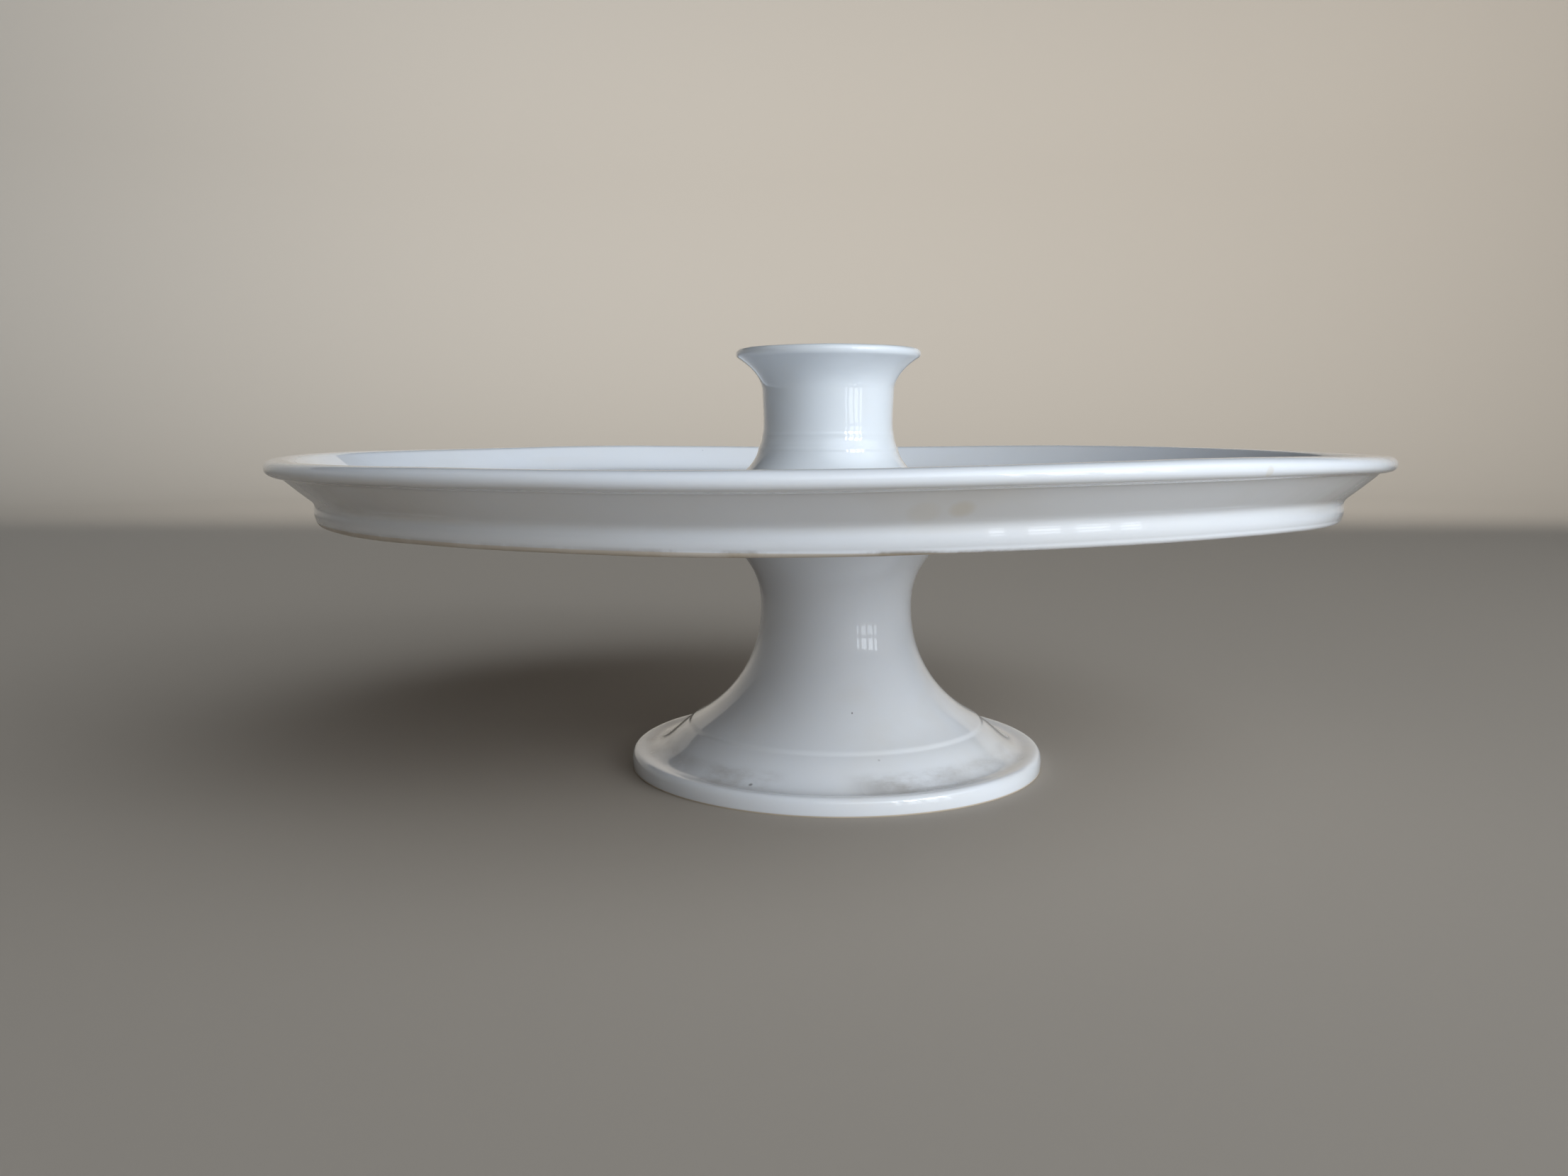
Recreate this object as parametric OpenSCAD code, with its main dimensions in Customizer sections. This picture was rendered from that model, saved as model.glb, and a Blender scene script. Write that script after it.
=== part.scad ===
// Porcelain cake stand: a footed plate with a spool-shaped centre cup.
// Three porcelain pieces sit on one another and a tie rod clamps them together.
// Millimetres, +Z up, the origin on the table under the middle of the foot.

/* [Pedestal] */
// Outer radius of the foot where it meets the table
foot_r = 72; // [68:1:80]
// Height of the pedestal, from the table to its flat top
pedestal_h = 91.5; // [86:0.5:110]
// Radius of the narrowest place of the pedestal
waist_r = 26.4; // [24:0.2:30]
// Radius of the small step round the lower slope of the foot
step_r = 50.4; // [48:0.2:54]
// Radius of the collar under the plate
collar_r = 44; // [42:1:50]
// Thickness of the porcelain of the pedestal, straight through the wall
pedestal_wall = 5.5; // [5:0.5:7]
// Thickness of the deck that closes the pedestal's top
deck_t = 6.5; // [5:0.5:8]

/* [Serving plate] */
// Outer radius of the lip
plate_r = 180; // [150:1:210]
// Depth of the plate, from the top of the lip to the floor
plate_depth = 11; // [10:0.5:16]
// Thickness of the plate's floor
plate_t = 5; // [4:0.5:6]
// How far the wall leans out, from the ring below it to the lip
plate_lean = 14; // [12:0.5:20]
// Depth of the shallow seat in the floor that holds the cup's base in place
seat_drop = 0.5; // [0.3:0.1:1]
// How far the ring under the plate hangs below the floor
ring_drop = 3.8; // [3:0.2:8]

/* [Centre cup] */
// Height of the cup
cup_h = 45; // [45:0.5:60]
// Outer radius of the cup's neck at its narrowest place
neck_r = 22.4; // [21:0.2:25]
// Outer radius of the cup's flared lip
cup_lip_r = 31.8; // [30:0.2:36]
// Outer radius of the cup's base
cup_base_r = 31.6; // [31:0.2:36]
// Radius of the straight socket inside the neck
socket_r = 18.5; // [16:0.5:18.5]
// Length of the straight socket
socket_l = 15.5; // [10:0.5:15.5]
// Thickness of the cup's floor
cup_floor_t = 5; // [4:0.5:5]

/* [Tie rod and fittings] */
// Radius of the tie rod, over its thread
rod_r = 3.95; // [2.95:0.5:4.95]
// Radius of the hole through each porcelain piece
hole_r = 6; // [5.5:0.5:7]
// Thickness of the cork gaskets between the porcelain pieces
gasket_t = 1; // [0.5:0.5:1.5]
// Thickness of the leather washer and of the cork washer
soft_washer_t = 1.5; // [1:0.25:2]
// Thickness of the washer under the cap nut
cap_washer_t = 1.2; // [1:0.1:1.5]
// Thickness of the washer over the clamp nut
clamp_washer_t = 1.5; // [1:0.25:2]
// Distance across the flats of both nuts
nut_flats = 13; // [13:0.5:17]
// Height of the clamp nut
clamp_nut_h = 6.5; // [5:0.5:8]
// Height of the cap nut's six flats
cap_flats_h = 4.5; // [4:0.5:5]
// Height of the cap nut's dome
cap_dome_h = 3.8; // [3:0.2:4]

/* [Hidden] */
$fn = 160;

porcelain = [0.93, 0.94, 0.94];
cork = [0.72, 0.55, 0.36];
leather = [0.42, 0.25, 0.13];
brass = [0.80, 0.64, 0.30];

// Room round the cup's base in its seat
seat_room = 1.2;

// Heights of the faces that rest on one another, from the table up
deck_z = pedestal_h - deck_t;
plate_z = pedestal_h + gasket_t;
plate_floor_z = plate_z + plate_t;
plate_top_z = plate_floor_z + plate_depth;
seat_z = plate_floor_z - seat_drop;
cup_z = plate_floor_z + gasket_t;
cup_floor_z = cup_z + cup_floor_t;
cup_top_z = cup_z + cup_h;
cap_washer_z = cup_floor_z + soft_washer_t;
cap_nut_z = cap_washer_z + cap_washer_t;
clamp_washer_z = deck_z - soft_washer_t - clamp_washer_t;
clamp_nut_z = clamp_washer_z - clamp_nut_h;

// Radial room between the rod and what it passes through
thread_gap = 0.05;
washer_gap = 0.25;
rod_chamfer = 0.8;
rod_tail = 5.5;
cap_bore_h = 6.5;
cap_bore_spare = 0.4;

// The foot's edge, and the flat ring under it that stands on the table
foot_edge_z = 3;
foot_edge_round = 2.8;
foot_corner = 0.8;
foot_ring_w = 7.5;

// The shallow valley behind the foot's edge, and the slope up to the step
valley_run = 3;
valley_drop = 0.7;
valley_pull = [5, -0.6];
slope_pull = [4.7, -2.4];
step_z = 15.3;
step_round = 1.1;
step_fillet = [0.5, -0.6];

// The trumpet above the step: how steeply its two ends rise, in degrees,
// and how far its curves pull along the step, the waist and the collar
trumpet_rise = 29;
trumpet_pull = 17.8;
waist_z = 55;
waist_pull_low = 17;
waist_pull_high = 13.9;
flare_rise = 50;
flare_pull = 17.5;
collar_h = 5.5;
edge_round = 1.2;

// The hollow inside the pedestal: its shoulder under the deck and its lower slope
shoulder_w = 7;
shoulder_pull = [8, 12];
hollow_pull = 15;
hollow_bend = [9.5, 18];
slope_wall = [4.4, 3.8];

// The plate's rolled lip, and the crease where it meets the wall from below
lip_drop = 2.3;
lip_half_w = 3;
lip_t = 4.4;
lip_crease_w = 4.5;
lip_crease_drop = 0.9;

// The plate's wall, straight through, and the sweep where it meets the floor
plate_wall = [-3, 3.9];
wall_lean = 38;
floor_sweep = [9, 5, 9];

// The ring under the plate
band_h = 6.3;
band_bulge = 0.6;
ring_w = 6.5;
ring_round = 1.5;

// The cup's rounded lip and base, and the heights where its neck begins and ends
cup_lip_round = 1.7;
cup_base_round = 0.9;
neck_rise = 15.5;
flare_drop = 14.2;
neck_taper = 0.35;
lip_slope = 40;

// The cup inside: how far the socket begins below the lip, and the pocket under it
socket_drop = 13;
pocket_w = 3.5;
pocket_round = 2;

// A point at distance d from p, in direction a degrees
function from(p, d, a) = p + d * [cos(a), sin(a)];

// Points along an arc and along a cubic curve, without the last one,
// because the next stretch of an outline begins there
function arc(c, r, a0, a1, n = 8) =
    [for (i = [0:n - 1]) from(c, r, a0 + (a1 - a0) * i / n)];
function curve(p0, p1, p2, p3, n = 14) =
    [for (i = [0:n - 1]) let (t = i / n, s = 1 - t)
        s * s * s * p0 + 3 * s * s * t * p1 + 3 * s * t * t * p2 + t * t * t * p3];

// Outline of the pedestal: the foot, the trumpet, the collar, then back down inside
function pedestal_outline() =
    let (
        crest = [foot_r - foot_edge_round, foot_edge_z + foot_edge_round],
        valley = crest - [valley_run, valley_drop],
        trumpet = [step_r, step_z],
        bead = from(trumpet, -step_round, 90 - trumpet_rise),
        slope_top = from(bead, step_round, 0) + step_fillet,
        waist = [waist_r, waist_z],
        collar = [collar_r, pedestal_h - collar_h],
        in_r = waist_r - pedestal_wall,
        in_top = [in_r, waist_z + 2],
        shoulder = [in_r + shoulder_w, deck_z],
        in_slope = trumpet - slope_wall,
        in_foot = [foot_r - foot_ring_w - 1.5, 1.4]
    ) concat(
        [[foot_r - foot_ring_w, 0]],
        arc([foot_r - foot_corner, foot_corner], foot_corner, -90, 0, 4),
        arc([foot_r - foot_edge_round, foot_edge_z], foot_edge_round, 0, 90, 8),
        curve(crest, crest - [1.4, 0], valley + [1.2, 0], valley, 6),
        curve(valley, valley - valley_pull, slope_top + slope_pull, slope_top, 10),
        arc(bead, step_round, 5, 90 - trumpet_rise, 5),
        curve(trumpet, from(trumpet, trumpet_pull, 180 - trumpet_rise),
            waist - [0, waist_pull_low], waist, 20),
        curve(waist, waist + [0, waist_pull_high], from(collar, -flare_pull, flare_rise), collar, 14),
        [collar],
        arc([collar_r - edge_round, pedestal_h - edge_round], edge_round, 0, 90, 4),
        [[collar_r - edge_round, pedestal_h], [hole_r, pedestal_h], [hole_r, deck_z]],
        curve(shoulder, shoulder + [shoulder_pull[0], 0], [in_r, deck_z - shoulder_pull[1]], in_top, 12),
        curve(in_top, [in_r, waist_z - hollow_pull], [in_r, 0] + hollow_bend, in_slope, 16),
        [in_slope, in_foot]
    );

// Outline of the plate: under the floor, round the ring, up to the lip, back to the middle
function plate_outline() =
    let (
        ring_r = plate_r - plate_lean,
        ring_z = plate_z - ring_drop,
        crease = [ring_r - 0.2, ring_z + band_h],
        lip = [plate_r - lip_half_w, plate_top_z],
        under_lip = [plate_r - lip_crease_w, plate_top_z - lip_t - lip_crease_drop],
        tip = [plate_r, plate_top_z - lip_drop],
        wall_top = under_lip + plate_wall,
        floor_edge = [ring_r - floor_sweep[2], plate_floor_z],
        seat_r = cup_base_r + seat_room
    ) concat(
        [[hole_r, plate_z], [ring_r - ring_w - 2.5, plate_z], [ring_r - ring_w, plate_z - 1]],
        arc([ring_r - ring_w + ring_round, ring_z + ring_round], ring_round, 180, 270, 5),
        arc([ring_r - ring_round, ring_z + ring_round], ring_round, -90, 0, 5),
        curve([ring_r, ring_z + ring_round], [ring_r + band_bulge, ring_z + 3],
            [ring_r + band_bulge, ring_z + 5], crease, 8),
        curve(crease, crease + [2.6, 2.2], under_lip - [3, 2.4], under_lip, 6),
        curve(under_lip, under_lip + [0.8, 0.6], lip - [1, lip_t], lip - [-0.3, lip_t], 5),
        curve(lip - [-0.3, lip_t], lip - [-2, lip_t], tip - [0, 1.4], tip, 8),
        curve(tip, tip + [0, 1.4], lip + [1.9, 0], lip, 8),
        curve(lip, lip - [2.2, 0], wall_top + [1.2, 1], wall_top, 7),
        curve(wall_top, from(wall_top, -floor_sweep[0], wall_lean),
            floor_edge + [floor_sweep[1], 0], floor_edge, 12),
        [floor_edge, [seat_r, plate_floor_z], [seat_r, seat_z], [hole_r, seat_z]]
    );

// Outline of the cup: under the base, up outside, over the lip, down inside to its floor
function cup_outline() =
    let (
        base = [cup_base_r - cup_base_round, cup_z + cup_base_round],
        base_top = from(base, cup_base_round, 45),
        neck = [neck_r, cup_z + neck_rise],
        flare = [neck_r + neck_taper, cup_top_z - flare_drop],
        lip = [cup_lip_r - cup_lip_round, cup_top_z - cup_lip_round],
        lip_low = from(lip, cup_lip_round, lip_slope - 90),
        lip_in = from(lip, cup_lip_round, 120),
        socket = [socket_r, cup_top_z - socket_drop],
        socket_foot = socket - [0, socket_l],
        pocket = [socket_r + pocket_w, cup_floor_z + pocket_round]
    ) concat(
        [[hole_r, cup_z]],
        arc(base, cup_base_round, -90, 45, 5),
        curve(base_top, base_top + [-3.9, 3.1], neck - [0, 6.5], neck, 14),
        [neck],
        curve(flare, flare + [0.15, 3.5], from(lip_low, -4.5, lip_slope), lip_low, 12),
        arc(lip, cup_lip_round, lip_slope - 90, 120, 12),
        curve(lip_in, from(lip_in, 4, -150), socket + [0, 5.5], socket, 12),
        [socket],
        curve(socket_foot, socket_foot - [0, 3.5], pocket + [0, 3], pocket, 8),
        arc(pocket - [pocket_round, 0], pocket_round, 0, -90, 4),
        [[pocket[0] - pocket_round, cup_floor_z], [hole_r, cup_floor_z]]
    );

// A flat ring, such as a washer or a gasket
module ring(outer_r, inner_r, thickness) {
    difference() {
        cylinder(h = thickness, r = outer_r);
        translate([0, 0, -1]) cylinder(h = thickness + 2, r = inner_r);
    }
}

// A six-sided prism
module hexagon(height) {
    cylinder(h = height, r = nut_flats / 2 / cos(30), $fn = 6);
}

// The rounded-off corners of a nut: a cone that trims one end of the prism
module corner_cone(height) {
    cylinder(h = height, r1 = nut_flats / 2 - 0.2 + height * 1.7, r2 = nut_flats / 2 - 0.2);
}

module pedestal() {
    color(porcelain) rotate_extrude() polygon(pedestal_outline());
}

module serving_plate() {
    color(porcelain) rotate_extrude() polygon(plate_outline());
}

module centre_cup() {
    color(porcelain) rotate_extrude() polygon(cup_outline());
}

module plate_gasket() {
    color(cork) translate([0, 0, pedestal_h]) ring(collar_r - 3, hole_r + 1, gasket_t);
}

module cup_gasket() {
    color(cork) translate([0, 0, seat_z]) ring(cup_base_r - 3, hole_r + 1, seat_drop + gasket_t);
}

module tie_rod() {
    bottom_z = clamp_nut_z - rod_tail;
    top_z = cap_nut_z + cap_bore_h - cap_bore_spare;
    neck = rod_r - rod_chamfer;
    color(brass) {
        translate([0, 0, bottom_z]) cylinder(h = rod_chamfer, r1 = neck, r2 = rod_r);
        translate([0, 0, bottom_z + rod_chamfer]) cylinder(h = top_z - bottom_z - 2 * rod_chamfer, r = rod_r);
        translate([0, 0, top_z - rod_chamfer]) cylinder(h = rod_chamfer, r1 = rod_r, r2 = neck);
    }
}

module cap_nut() {
    dome_r = nut_flats / 2 - 0.4;
    color(brass) translate([0, 0, cap_nut_z]) difference() {
        union() {
            intersection() {
                hexagon(cap_flats_h);
                corner_cone(cap_flats_h);
            }
            rotate_extrude() polygon(concat(
                [[0, cap_flats_h - 1], [dome_r, cap_flats_h - 1]],
                curve([dome_r, cap_flats_h], [dome_r, cap_flats_h + cap_dome_h * 0.6],
                    [dome_r * 0.55, cap_flats_h + cap_dome_h], [0, cap_flats_h + cap_dome_h], 10),
                [[0, cap_flats_h + cap_dome_h]]));
        }
        translate([0, 0, -1]) cylinder(h = cap_bore_h + 1, r = rod_r + thread_gap);
    }
}

module cap_washer() {
    color(brass) translate([0, 0, cap_washer_z]) ring(10, rod_r + washer_gap, cap_washer_t);
}

module leather_washer() {
    color(leather) translate([0, 0, cup_floor_z]) ring(11.5, rod_r + washer_gap, soft_washer_t);
}

module cork_washer() {
    color(cork) translate([0, 0, deck_z - soft_washer_t]) ring(16, rod_r + washer_gap, soft_washer_t);
}

module clamp_washer() {
    color(brass) translate([0, 0, clamp_washer_z]) ring(14, rod_r + washer_gap, clamp_washer_t);
}

module clamp_nut() {
    color(brass) translate([0, 0, clamp_nut_z]) difference() {
        intersection() {
            hexagon(clamp_nut_h);
            corner_cone(clamp_nut_h);
            translate([0, 0, clamp_nut_h]) mirror([0, 0, 1]) corner_cone(clamp_nut_h);
        }
        translate([0, 0, -1]) cylinder(h = clamp_nut_h + 2, r = rod_r + thread_gap);
    }
}

pedestal();
serving_plate();
centre_cup();
plate_gasket();
cup_gasket();
tie_rod();
cap_nut();
cap_washer();
leather_washer();
cork_washer();
clamp_washer();
clamp_nut();
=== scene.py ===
# %% [markdown]
# # A porcelain cake stand, thrown and glazed
#
# The stand is three pieces of white porcelain on one axis: a hollow pedestal, a wide
# shallow plate and a flared cup. A brass rod clamps them together through cork and
# leather. The frame file gives where every part is, so each new piece is built there.

# %% Load the frame
import math

import bpy
from mathutils import Euler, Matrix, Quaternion, Vector


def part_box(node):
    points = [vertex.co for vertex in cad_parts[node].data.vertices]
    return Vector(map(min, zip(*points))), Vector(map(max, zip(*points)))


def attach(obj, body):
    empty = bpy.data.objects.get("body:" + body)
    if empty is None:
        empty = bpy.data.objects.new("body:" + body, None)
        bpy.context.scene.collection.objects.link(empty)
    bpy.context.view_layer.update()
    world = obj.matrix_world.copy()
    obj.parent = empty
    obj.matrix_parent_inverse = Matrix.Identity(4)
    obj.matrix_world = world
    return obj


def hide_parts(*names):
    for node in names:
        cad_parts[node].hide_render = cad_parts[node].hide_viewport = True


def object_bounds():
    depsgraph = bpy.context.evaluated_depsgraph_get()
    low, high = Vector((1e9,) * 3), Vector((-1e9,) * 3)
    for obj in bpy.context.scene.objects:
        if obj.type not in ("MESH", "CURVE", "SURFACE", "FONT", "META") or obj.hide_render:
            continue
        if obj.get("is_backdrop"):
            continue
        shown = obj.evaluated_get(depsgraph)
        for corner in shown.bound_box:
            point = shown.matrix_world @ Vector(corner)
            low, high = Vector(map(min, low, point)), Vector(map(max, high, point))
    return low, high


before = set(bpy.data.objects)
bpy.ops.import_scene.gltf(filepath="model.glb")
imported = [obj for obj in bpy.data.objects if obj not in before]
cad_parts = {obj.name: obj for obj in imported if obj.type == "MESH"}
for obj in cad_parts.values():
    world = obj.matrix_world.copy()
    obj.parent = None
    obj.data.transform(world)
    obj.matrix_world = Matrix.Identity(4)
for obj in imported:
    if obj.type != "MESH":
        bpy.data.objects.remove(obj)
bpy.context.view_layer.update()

MM = 0.001
print("nodes in the frame:", ", ".join(sorted(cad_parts)))

# %% [markdown]
# ## Outlines
#
# A potter thinks of a round pot as one outline that turns about its axis. Each outline
# here is a list of points, a radius and a height in millimetres. Arcs and cubic curves
# give the round stretches, so that a few corner points are all that has to be chosen.

# %% Outline helpers
def point(radius, height):
    return Vector((radius, height))


def away(start, distance, angle):
    """The point at a distance from start, in a direction in degrees."""
    turn = math.radians(angle)
    return start + distance * Vector((math.cos(turn), math.sin(turn)))


def arc(centre, radius, first, last, steps):
    """Points along an arc, without the last one."""
    return [away(centre, radius, first + (last - first) * i / steps) for i in range(steps)]


def curve(p0, p1, p2, p3, steps):
    """Points along a cubic curve, without the last one."""
    made = []
    for i in range(steps):
        t = i / steps
        s = 1 - t
        made.append(s ** 3 * p0 + 3 * s * s * t * p1 + 3 * s * t * t * p2 + t ** 3 * p3)
    return made


def line(p0, p1, steps):
    """Points along a straight line, without the last one."""
    return [p0.lerp(p1, i / steps) for i in range(steps)]


def ridge(low, high, height, steps):
    """Points along a line that swells outwards in the middle, without the last one."""
    made = []
    for i in range(steps):
        swell = height * (1 - math.cos(math.tau * i / steps)) / 2
        made.append(low.lerp(high, i / steps) + point(swell, 0))
    return made


def size_of(node):
    """A node's outer radius, lowest height and highest height, in millimetres."""
    low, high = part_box(node)
    return high.x / MM, low.z / MM, high.z / MM


foot_r, _, pedestal_top = size_of("pedestal")
plate_r, ring_z, plate_top = size_of("serving_plate")
cup_lip_r, cup_z, cup_top = size_of("centre_cup")
rod_r, rod_bottom, rod_top = size_of("tie_rod")
print(f"foot {foot_r:.1f}, plate {plate_r:.1f}, cup {cup_lip_r:.1f} mm in radius")

# %% [markdown]
# ## Throwing
#
# On the wheel a potter's rib draws the outline while the clay turns past it. Blender's
# Spin does the same. A plane is merged to one vertex, the vertex is extruded from point
# to point along the outline, and the open chain is spun once round the axis. The seam is
# merged, and the normals are turned outwards at the end.

# %% Throwing helpers
MERGE = 0.005


def deselect():
    if bpy.context.object and bpy.context.object.mode != "OBJECT":
        bpy.ops.object.mode_set(mode="OBJECT")
    bpy.ops.object.select_all(action="DESELECT")


def work_on(piece):
    deselect()
    bpy.context.view_layer.objects.active = piece
    piece.select_set(True)


def draw_chain(name, outline):
    """An object whose mesh is one open chain of vertices along the outline."""
    deselect()
    start = outline[0] * MM
    bpy.ops.mesh.primitive_plane_add(size=MM, location=(0, 0, 0))
    piece = bpy.context.object
    piece.name = name
    bpy.ops.object.mode_set(mode="EDIT")
    bpy.ops.mesh.select_all(action="SELECT")
    bpy.ops.mesh.merge(type="CENTER")
    bpy.ops.transform.translate(value=(start.x, 0, start.y))
    for before, after in zip(outline, outline[1:]):
        step = (after - before) * MM
        bpy.ops.mesh.extrude_region_move(TRANSFORM_OT_translate={"value": (step.x, 0, step.y)})
    return piece


def spin_round(steps):
    """Turns the chain that is being edited once round the axis, and closes the seam."""
    bpy.ops.mesh.select_all(action="SELECT")
    bpy.ops.mesh.spin(steps=steps, angle=math.tau, center=(0, 0, 0), axis=(0, 0, 1))
    bpy.ops.mesh.select_all(action="SELECT")
    bpy.ops.mesh.remove_doubles(threshold=MERGE * MM)


def throw(name, outline, steps, closed=True):
    """A solid of revolution. An outline that isn't closed starts and ends on the axis."""
    piece = draw_chain(name, outline + outline[:1] if closed else outline)
    spin_round(steps)
    bpy.ops.mesh.normals_make_consistent(inside=False)
    bpy.ops.object.mode_set(mode="OBJECT")
    print(f"{name}: {len(outline)} points in the outline, {len(piece.data.polygons)} faces")
    return piece


# %% [markdown]
# ## Kiln and hand
#
# Porcelain softens in the kiln and never comes out quite true. A large move is made by
# proportional editing: a few vertices are grabbed and their neighbours follow, less and
# less with distance. The small unevenness of a thrown wall is a Displace modifier with a
# soft cloud pattern, and it is applied, so that it stays in the mesh.

# %% Kiln helpers
def pick(piece, chosen):
    """Starts editing a piece, with only the vertices selected that are chosen by their place."""
    work_on(piece)
    bpy.ops.object.mode_set(mode="EDIT")
    bpy.ops.mesh.select_all(action="DESELECT")
    bpy.ops.object.mode_set(mode="OBJECT")
    for vertex in piece.data.vertices:
        vertex.select = chosen(vertex.co / MM)
    bpy.ops.object.mode_set(mode="EDIT")


def grab(piece, chosen, move, reach):
    """Moves the chosen vertices by millimetres, and the others with them out to reach."""
    pick(piece, chosen)
    bpy.ops.transform.translate(
        value=Vector(move) * MM, use_proportional_edit=True,
        proportional_edit_falloff="SMOOTH", proportional_size=reach * MM)
    bpy.ops.object.mode_set(mode="OBJECT")


def roughen(piece, name, height, grain, depth=2):
    """Soft unevenness: height is its size from valley to crest, grain its width, in mm."""
    clouds = bpy.data.textures.new(name, "CLOUDS")
    clouds.noise_scale = grain * MM
    clouds.noise_depth = depth
    work_on(piece)
    uneven = piece.modifiers.new(name, "DISPLACE")
    uneven.texture = clouds
    uneven.texture_coords = "LOCAL"
    uneven.strength = height * MM
    uneven.mid_level = 0.5
    bpy.ops.object.modifier_apply(modifier=uneven.name)


def flatten(piece, below):
    """Rubs the foot flat: what lies lower than below, in millimetres, goes to zero height."""
    pick(piece, lambda at: at.z < below)
    bpy.ops.transform.resize(value=(1, 1, 0), center_override=(0, 0, 0))
    bpy.ops.object.mode_set(mode="OBJECT")


def smooth(piece, angle=50):
    """Shades a piece smooth, but for edges sharper than an angle in degrees."""
    work_on(piece)
    bpy.ops.object.shade_smooth_by_angle(angle=math.radians(angle))


def finish_piece(piece, node, material):
    """Gives a piece its material and its body, and hides the node that it stands for."""
    piece.data.materials.clear()
    piece.data.materials.append(material)
    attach(piece, "root")
    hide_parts(node)
    print(f"{piece.name} stands for {node}, in {material.name}")


# %% [markdown]
# ## The pedestal
#
# The foot has a rounded edge, a shallow valley where dirt gathers, and a slope up to a
# small step. Above the step a trumpet sweeps in to the waist and out again to a collar
# under the plate. It is hollow up to a flat deck that the rod goes through, and the wall
# follows the outside, because a wall that is thick in places cracks in the fire. The outline
# runs up the outside, across the deck and down the inside, so one spin makes both faces.

# %% Pedestal
HOLE_R = 6
WAIST = point(26.4, 55)
STEP = point(50.4, 15.3)
STEP_RISE = 29
PEDESTAL_WALL = 5.5
DECK = 6.5


def pedestal_outline():
    corner = point(foot_r - 0.7, 0.7)
    crest = point(foot_r - 2.4, 5.8)
    valley = crest - point(4.2, 0.4)
    slope_top = STEP + point(2.0, -1.8)
    collar = point(44, pedestal_top - 5.5)
    deck = pedestal_top - DECK
    inner_r = WAIST.x - PEDESTAL_WALL
    inner_top = point(inner_r, WAIST.y + 2)
    shoulder = point(inner_r + 7, deck)
    inner_slope = STEP - point(4.4, 3.8)
    foot_ring = point(foot_r - 7.5, 0)
    foot_hollow = point(foot_r - 9.2, 1.7)
    return [
        *line(foot_ring, point(corner.x, 0), 3),
        *arc(corner, 0.7, -90, 0, 5),
        *curve(point(foot_r, 0.7), point(foot_r + 0.2, 3.8), crest + point(2.1, 0), crest, 16),
        *curve(crest, crest - point(1.6, 0), valley + point(1.8, 0), valley, 12),
        *curve(valley, valley - point(4.5, -0.3), slope_top + point(4.7, -2.6), slope_top, 22),
        *curve(slope_top, slope_top + point(-1.0, 0.55), away(STEP, 1.3, -STEP_RISE), STEP, 12),
        *curve(STEP, away(STEP, 17.8, 180 - STEP_RISE), WAIST - point(0, 17), WAIST, 40),
        *curve(WAIST, WAIST + point(0, 13.9), away(collar, -17.5, 50), collar, 22),
        *line(collar, collar + point(0, 4.3), 2),
        *arc(point(collar.x - 1.2, pedestal_top - 1.2), 1.2, 0, 90, 5),
        *line(point(collar.x - 1.2, pedestal_top), point(HOLE_R, pedestal_top), 6),
        *line(point(HOLE_R, pedestal_top), point(HOLE_R, deck), 3),
        *line(point(HOLE_R, deck), shoulder, 4),
        *curve(shoulder, shoulder + point(8, 0), point(inner_r, deck - 12), inner_top, 18),
        *curve(inner_top, inner_top - point(0, 17), point(inner_r + 9.5, 18), inner_slope, 24),
        *line(inner_slope, foot_hollow, 10),
        *curve(foot_hollow, foot_hollow + point(0.8, -0.6), point(foot_ring.x - 0.6, 0), foot_ring, 4),
    ]


pedestal = throw("thrown_pedestal", pedestal_outline(), steps=224)
roughen(pedestal, "throwing", height=0.35, grain=45)
flatten(pedestal, below=0.35)
smooth(pedestal)

# %% [markdown]
# ## The plate
#
# The plate is a thin flat disc with a wall that leans out and a rolled lip. A ring hangs
# under it and stiffens it. The rim came out of the kiln wavy and a little off centre. So
# grabs at twelve places round the lip lift or lower it by about a millimetre at most, and
# one more shifts all but the middle by almost five. Each has a long reach, because fired
# clay bends and doesn't dent.

# %% Plate
RING_OUT = plate_r - 14
FLOOR_T = 5
SEAT_R = 32.8
SEAT_DROP = 0.5
GASKET_T = 1
plate_under = pedestal_top + GASKET_T
plate_floor = plate_under + FLOOR_T


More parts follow.
